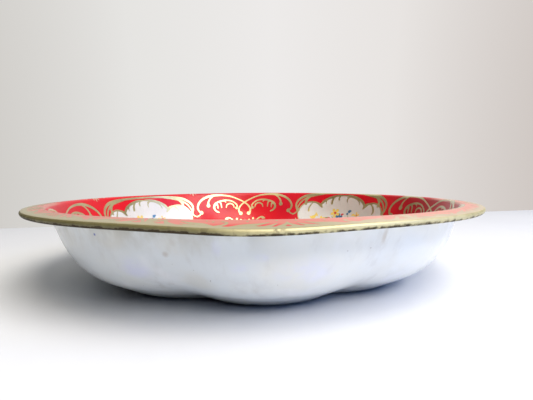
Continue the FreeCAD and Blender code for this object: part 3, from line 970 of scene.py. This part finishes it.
def make_wire(material):
    """The steel wire, which follows the rolled edge. Its ends meet at the back."""
    sides, count, gap = 12, 360, radians(0.3)
    turns = pi + gap / 2 + (2 * pi - gap) * np.arange(count + 1) / count
    around = 2 * pi * np.arange(sides) / sides
    radius = BEAD_R - SHEET - WIRE_GAP
    r = BEAD[0] + radius * np.cos(around)[None, :]
    t = turns[:, None]
    z = BEAD[1] + radius * np.sin(around)[None, :] - sag(t, V_CURL)
    points = np.stack([r * np.sin(t), -r * np.cos(t), z * np.ones_like(t)], -1).reshape(-1, 3)
    i, j = np.arange(count)[:, None] * sides, np.arange(sides)[None, :]
    k = (j + 1) % sides
    faces = np.stack([i + j, i + sides + j, i + sides + k, i + k], -1).reshape(-1, 4).tolist()
    faces += [list(range(sides)), list(range(count * sides, (count + 1) * sides))[::-1]]
    wire = new_object("wire", points, faces, material)
    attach(wire, "root")
    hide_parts("rim_wire")


TABLE_BACK = 275.0
TABLE_SLANT = radians(14.3)
TABLE_REACH = 1400


def make_floor(material):
    """A wide table top, whose back edge runs slantwise behind the bowl."""
    rise = TABLE_REACH * tan(TABLE_SLANT)
    corners = (
        (-TABLE_REACH, -TABLE_REACH), (TABLE_REACH, -TABLE_REACH),
        (TABLE_REACH, TABLE_BACK + rise), (-TABLE_REACH, TABLE_BACK - rise),
    )
    turn = Matrix.Rotation(VIEW_TURN, 3, "Z")
    points = [turn @ Vector((x, y, 0)) for x, y in corners]
    floor = new_object("floor", points, [[0, 1, 2, 3]], material)


def make_world(sides, front, strength):
    """Soft light from all round: a bright wall behind, dimmer on the camera's side."""
    world = bpy.data.worlds.new("studio")
    bpy.context.scene.world = world
    world.use_nodes = True
    nodes, links = world.node_tree.nodes, world.node_tree.links
    place = nodes.new("ShaderNodeTexCoord")
    turned = nodes.new("ShaderNodeMapping")
    turned.inputs["Rotation"].default_value = (0, 0, -VIEW_TURN)
    parts = nodes.new("ShaderNodeSeparateXYZ")
    links.new(place.outputs["Generated"], turned.inputs["Vector"])
    links.new(turned.outputs[0], parts.inputs[0])
    ramps = []
    for axis, stops in ((0, sides), (1, front)):
        spread = nodes.new("ShaderNodeMapRange")
        spread.inputs["From Min"].default_value = -1
        links.new(parts.outputs[axis], spread.inputs["Value"])
        ramp = nodes.new("ShaderNodeValToRGB")
        line = ramp.color_ramp.elements
        while len(line) < len(stops):
            line.new(0.5)
        for element, (at, colour) in zip(line, stops):
            element.position = at
            element.color = (*colour, 1)
        links.new(spread.outputs[0], ramp.inputs[0])
        ramps.append(ramp)
    product = nodes.new("ShaderNodeMix")
    product.data_type = "RGBA"
    product.blend_type = "MULTIPLY"
    product.inputs[0].default_value = 1
    links.new(ramps[0].outputs[0], product.inputs[6])
    links.new(ramps[1].outputs[0], product.inputs[7])
    links.new(product.outputs[2], nodes["Background"].inputs["Color"])
    nodes["Background"].inputs["Strength"].default_value = strength


LIGHT_AIM = Vector((0, 0, 0.02))


def area_light(name, way, far, size, power, colour):
    """A soft square light that points at the bowl's middle, seen from the camera's side."""
    data = bpy.data.lights.new(name, "AREA")
    data.size = size
    data.energy = power
    data.color = colour
    lamp = bpy.data.objects.new(name, data)
    place = Matrix.Rotation(VIEW_TURN, 3, "Z") @ (Vector(way).normalized() * far)
    spin = (LIGHT_AIM - place).to_track_quat("-Z", "Y").to_matrix().to_4x4()
    lamp.matrix_world = Matrix.Translation(place) @ spin
    bpy.context.scene.collection.objects.link(lamp)


# ---------------------------------------------------------------- the scene

make_camera()

gold = print_look("gold_print", (0.60, 0.55, 0.27), (0.42, 0.385, 0.18), 0.6, 0.9)

outside = layer("shell_outside", V_FIRST, V_END, 0.0, SHEET / 2, enamel_look())
inside = layer("shell_inside", V_FIRST, V_CURL, SHEET / 2, SHEET, red_look())
bead = layer("bead", V_CURL, V_END, SHEET / 2, SHEET, bead_look())
for piece, slot in ((outside, "enamelled_tin"), (inside, "printed_red"), (bead, "printed_gold")):
    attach(piece, "root")
    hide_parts("bowl_shell")
inks = {
    "white": print_look("cream_print", (0.64, 0.68, 0.65), (0.59, 0.62, 0.58), coat=0.4,
                        smudge=SMUDGE),
    "gold": gold,
    "green": print_look("green_print", (0.22, 0.30, 0.07), (0.30, 0.36, 0.12), grain_mm=3),
    "blue": print_look("blue_print", (0.02, 0.13, 0.28), (0.08, 0.22, 0.36), grain_mm=3),
    "yellow": print_look("yellow_print", (0.78, 0.62, 0.12), (0.70, 0.56, 0.18), grain_mm=3),
    "rose": print_look("rose_print", (0.56, 0.06, 0.06), (0.60, 0.18, 0.15), grain_mm=3),
}
print_wall(inks)
print_flange(print_look("flange_gold", (0.56, 0.48, 0.32), (0.51, 0.42, 0.28), 0.15, 0.3,
                        painted_shade=(0.29, 0.265, 0.125)))
print_floor(inks)
make_wire(wire_look())
make_floor(table_look())

make_world(
    ((0.13, (0.06, 0.05, 0.04)), (0.20, (0.60, 0.58, 0.55)), (0.36, (0.79, 0.78, 0.76)),
     (0.52, (0.85, 0.83, 0.82)), (0.66, (0.81, 0.78, 0.76)), (0.80, (0.62, 0.57, 0.54)),
     (0.87, (0.06, 0.06, 0.06))),
    ((0.47, (0.04, 0.04, 0.04)), (0.55, (1, 1, 1))), 1.0)
area_light("key", (0.37, -0.54, 0.76), 1.2, 0.85, 19.0, (1.0, 0.89, 0.75))
area_light("lamp", (0.25, -0.2, 0.9), 1.2, 0.9, 4.0, (0.92, 0.96, 1.0))
area_light("window", (0.85, -0.42, 0.45), 1.2, 1.0, 8.2, (0.31, 0.49, 1.0))

bpy.context.scene.view_settings.view_transform = "Standard"
